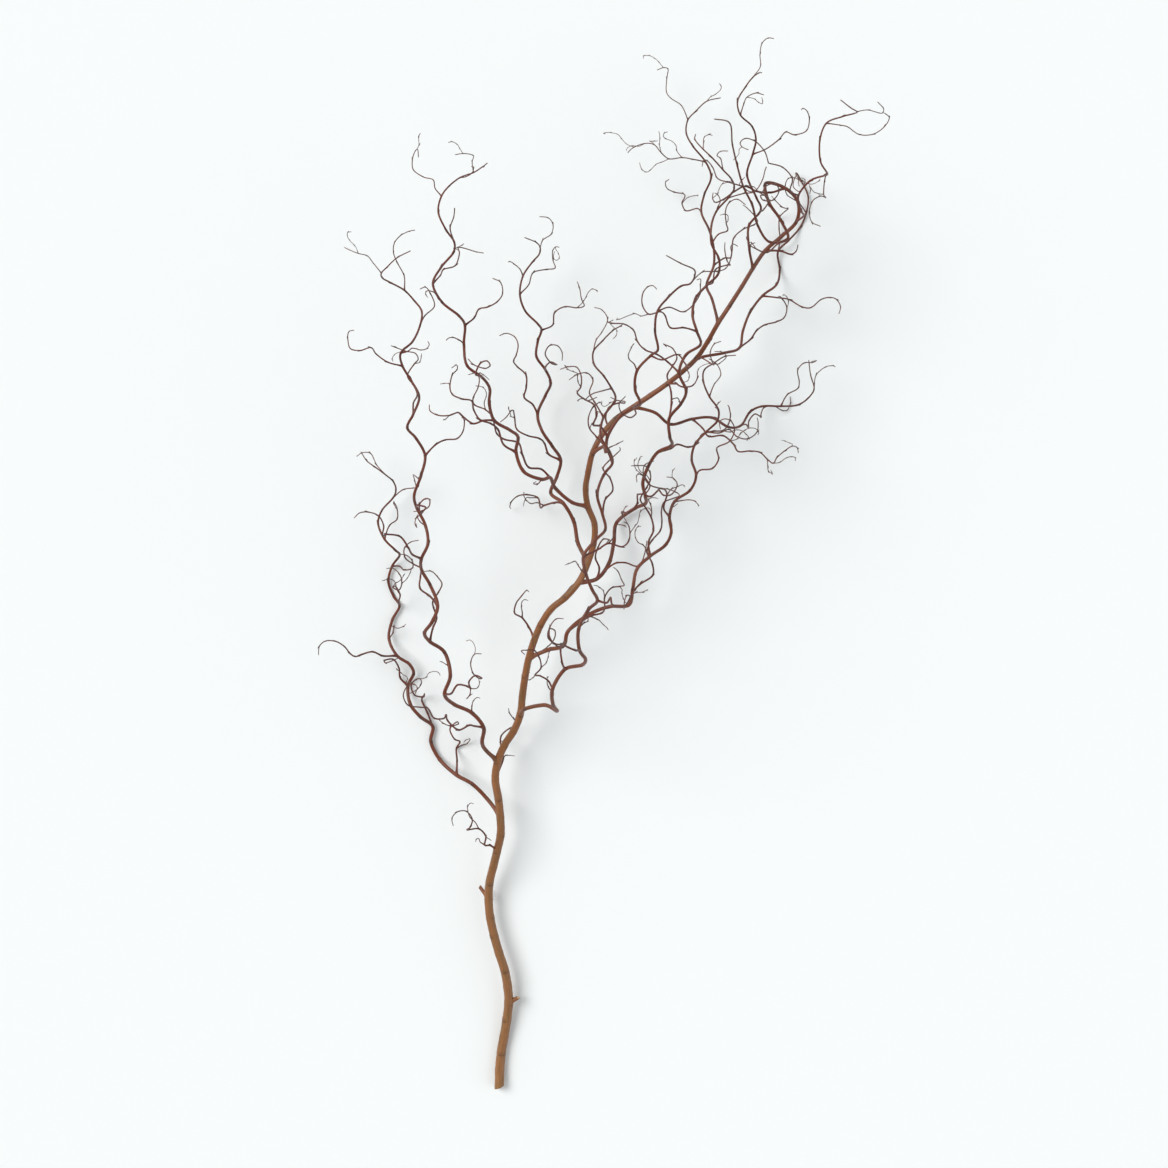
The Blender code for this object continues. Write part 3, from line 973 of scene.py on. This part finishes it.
def bud_scale():
    scale = Finish(bpy.data.materials.new("bud_scale"))
    grain = scale.stretched(scale.fact("grain", 1), (MILLI, MILLI, MILLI))
    reach = scale.fact("reach", 2)
    tone = scale.fact("tone", 2)
    veins = scale.noise(scale.stretched(grain, VEIN_GRAIN), 2.0, 0.5)
    colour = scale.node("ShaderNodeValToRGB", {"stops": BUD_COLOURS}, {"Fac": reach})
    colour = scale.mixed((tone * 0.5).held() * 0.5, colour, BUD_PALE)
    colour = scale.mixed((veins - 0.35).held() * 0.8, colour, BUD_DARK)
    return scale.done(
        Base_Color=colour,
        Roughness=(0.28 + 0.25 * veins).held(),
        Normal=scale.bump(veins, 0.4, BUD_RELIEF),
    )


buds = Skins()
for name, side, twigs, spurs in groups:
    for shoot in [side or stem, *twigs, *spurs]:
        for node in range(1, len(shoot.nodes) - 1):
            free = node not in shoot.forks and shoot.radii[node] < THICKEST_WITH_BUDS
            if free and spur_draws.random() < BUD_SHARE:
                add_bud(buds, shoot, node, spur_draws)
bud_caps = buds.piece("buds", bud_scale())
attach(bud_caps, "root")
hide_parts("branch")

# Three stubs are left on the lower stem where side shoots were pruned off. They are short pegs of
# the same wood and bark.

STUBS = [(5, 0.009), (11, 0.014), (19, 0.008)]
STUB_SHARE = 0.42
STUB_SIDES, STUB_RINGS = 18, 22
STUB_TONE = -0.4

stub_skin = Skins()
stub_cuts = []
for node, length in STUBS:
    radius = stem.radii[node] * STUB_SHARE
    heading = stem.heading_at(node, SIDE_SHOOT.leave)
    end = stem.nodes[node] + heading * (stem.radii[node] + length)
    peg = Shoot([stem.nodes[node], end], [radius, radius], parent=stem, root_node=node)
    peg_rings = stub_skin.cover(peg, STUB_SIDES, STUB_RINGS, tone=STUB_TONE, cut_tip=True)
    stub_cuts.append((peg_rings[-1], np.array(heading), radius))
stub_bark = stub_skin.piece("pruned_stubs", WILLOW_BARK)
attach(stub_bark, "root")
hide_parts("branch")

# Bare wood shows where shears cut the butt and the three stubs across at a slant. It is pale, with
# a brown pith, yearly rings and a thin dark line of bark round it.

CUT_RINGS = [1.0, 0.97, 0.93, 0.85, 0.74, 0.62, 0.50, 0.38, 0.26, 0.15, 0.07]
CUT_PROUD = 0.00006
CUT_ROUGHNESS = 0.00007
CUT_BACK = 0.15
CUT_SEED = 5
WOOD_PALE = (0.560, 0.400, 0.230)
WOOD_LATE = (0.360, 0.225, 0.110)
PITH = (0.200, 0.110, 0.050)
BARK_EDGE = (0.085, 0.048, 0.022)
YEAR_RING, YEAR_WOBBLE = 1.75, 1.1
WOBBLE_GRAIN, RAY_GRAIN = (0.35, 0.35, 0.35), (2.6, 2.6, 2.6)
PITH_REACH, BARK_FROM = 0.14, 0.95
WOOD_RELIEF = 0.00015


def cut_wood():
    wood = Finish(bpy.data.materials.new("cut_wood"))
    grain = wood.stretched(wood.fact("grain", 1), (MILLI, MILLI, 0.0))
    out = wood.node("ShaderNodeVectorMath", {"operation": "LENGTH"}, {"Vector": grain})
    edge = wood.fact("edge", 2)
    wobble = wood.noise(wood.stretched(grain, WOBBLE_GRAIN), 3.0, 0.6)
    rays = wood.noise(wood.stretched(grain, RAY_GRAIN), 3.0, 0.7)
    year = ((out + wobble * YEAR_WOBBLE) / YEAR_RING).fraction()
    late = (year**4.0).held()
    colour = wood.mixed(late * 0.65, WOOD_PALE, WOOD_LATE)
    colour = wood.mixed((rays - 0.3).held() * 0.6, colour, WOOD_LATE)
    colour = wood.mixed(((PITH_REACH * edge - out) / 0.3).held(), colour, PITH)
    colour = wood.mixed(((out - edge * BARK_FROM) / 0.10).held(), colour, BARK_EDGE)
    return wood.done(
        Base_Color=colour,
        Roughness=(0.62 + 0.25 * rays).held(),
        Normal=wood.bump(rays + late * 0.4, 0.5, WOOD_RELIEF),
    )


def add_cut(skin, rim, way, radius):
    """Rings of points from the bark to the pith, set just proud of the cut."""
    middle = rim.mean(0)
    draws = np.random.default_rng(CUT_SEED)
    lumps = draws.uniform(-1, 1, (len(CUT_RINGS), len(rim))) * CUT_ROUGHNESS
    lumps[0] = 0.0
    rings = middle + (rim - middle) * np.array(CUT_RINGS)[:, None, None]
    rings = rings + way * (CUT_PROUD + lumps)[:, :, None]
    away = np.linalg.norm(rim - middle, axis=1)
    angles = math.tau * np.arange(len(rim)) / len(rim)
    flat = np.stack((np.cos(angles) * away, np.sin(angles) * away, 0 * away), axis=1)
    spokes = flat[None] * np.array(CUT_RINGS)[:, None, None]
    depth = (1 - np.array(CUT_RINGS)) * radius
    back = middle - way * CUT_BACK * radius
    skin.add(rings, spokes, depth, {"edge": radius * MILLI}, back, middle + way * CUT_PROUD)


cuts = Skins()
add_cut(cuts, butt_rings[0][::-1], np.array(-stem.tangents[0]), STEM_BUTT_RADIUS)
for rim, way, radius in stub_cuts:
    add_cut(cuts, rim, way, radius)
cut_faces = cuts.piece("cut_faces", cut_wood())
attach(cut_faces, "root")
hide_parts("branch")

# A plain pale floor and soft studio light, with the camera above the crown. It looks down on the
# laid branch at the angle from which the standing stem was seen: a little from the tip's side.

FLOOR_HALF, FLOOR_DROP = 60.0, 0.0004
FLOOR_COLOUR = (0.86, 0.89, 0.90)
VIEW_PITCH = math.radians(14)
VIEW_DISTANCE = 2.72
VIEW_SHIFT = 0.050
FIELD_OF_VIEW = math.radians(27.4)
SOFT_LIGHTS = [
    ("key_light", (-0.62, 0.50, 0.75), 2.52, 34.0, (1.0, 0.985, 0.96)),
    ("fill_light", (0.85, -0.10, 0.60), 0.60, 60.0, (0.96, 0.98, 1.0)),
]
SKY_GREYS = [(0.0, 0.90), (0.16, 0.80), (0.45, 0.47), (1.0, 0.35)]
SKY = [(at, (grey * 0.98, grey, grey)) for at, grey in SKY_GREYS]

floor_mesh = bpy.data.meshes.new("pale_floor")
corners = [(-FLOOR_HALF, -FLOOR_HALF), (FLOOR_HALF, -FLOOR_HALF)]
corners += [(FLOOR_HALF, FLOOR_HALF), (-FLOOR_HALF, FLOOR_HALF)]
floor_mesh.from_pydata([(x, y, 0.0) for x, y in corners], [], [(0, 1, 2, 3)])
floor = bpy.data.objects.new("pale_floor", floor_mesh)
bpy.context.scene.collection.objects.link(floor)
floor.location.z = -FLOOR_DROP
pale = Finish(bpy.data.materials.new("pale_floor"))
floor_mesh.materials.append(pale.done(Base_Color=FLOOR_COLOUR, Roughness=0.85))

low, high = (Vector(corner) for corner in SOLID_BOX)
target = (low + high) / 2 + Vector((0.0, VIEW_SHIFT, 0.0))
view_way = Vector((0.0, -math.sin(VIEW_PITCH), -math.cos(VIEW_PITCH)))
camera_data = bpy.data.cameras.new("camera")
camera_data.angle = FIELD_OF_VIEW
camera = bpy.data.objects.new("camera", camera_data)
bpy.context.scene.collection.objects.link(camera)
camera.location = target - view_way * VIEW_DISTANCE
camera.rotation_euler = (-VIEW_PITCH, 0.0, 0.0)
bpy.context.scene.camera = camera

for name, way, strength, spread, colour in SOFT_LIGHTS:
    light = bpy.data.lights.new(name, "SUN")
    light.energy, light.angle, light.color = strength, math.radians(spread), colour
    lamp = bpy.data.objects.new(name, light)
    bpy.context.scene.collection.objects.link(lamp)
    lamp.rotation_euler = Vector(way).to_track_quat("Z", "Y").to_euler()

sky = Finish(bpy.data.worlds.new("studio"), "Background")
way = sky.node("ShaderNodeTexCoord", {}, {})
height = sky.node("ShaderNodeSeparateXYZ", {}, {"Vector": way}, 2)
glow = sky.node("ShaderNodeValToRGB", {"stops": SKY}, {"Fac": height})
bpy.context.scene.world = sky.done(Color=glow)
bpy.context.scene.view_settings.view_transform = "Standard"
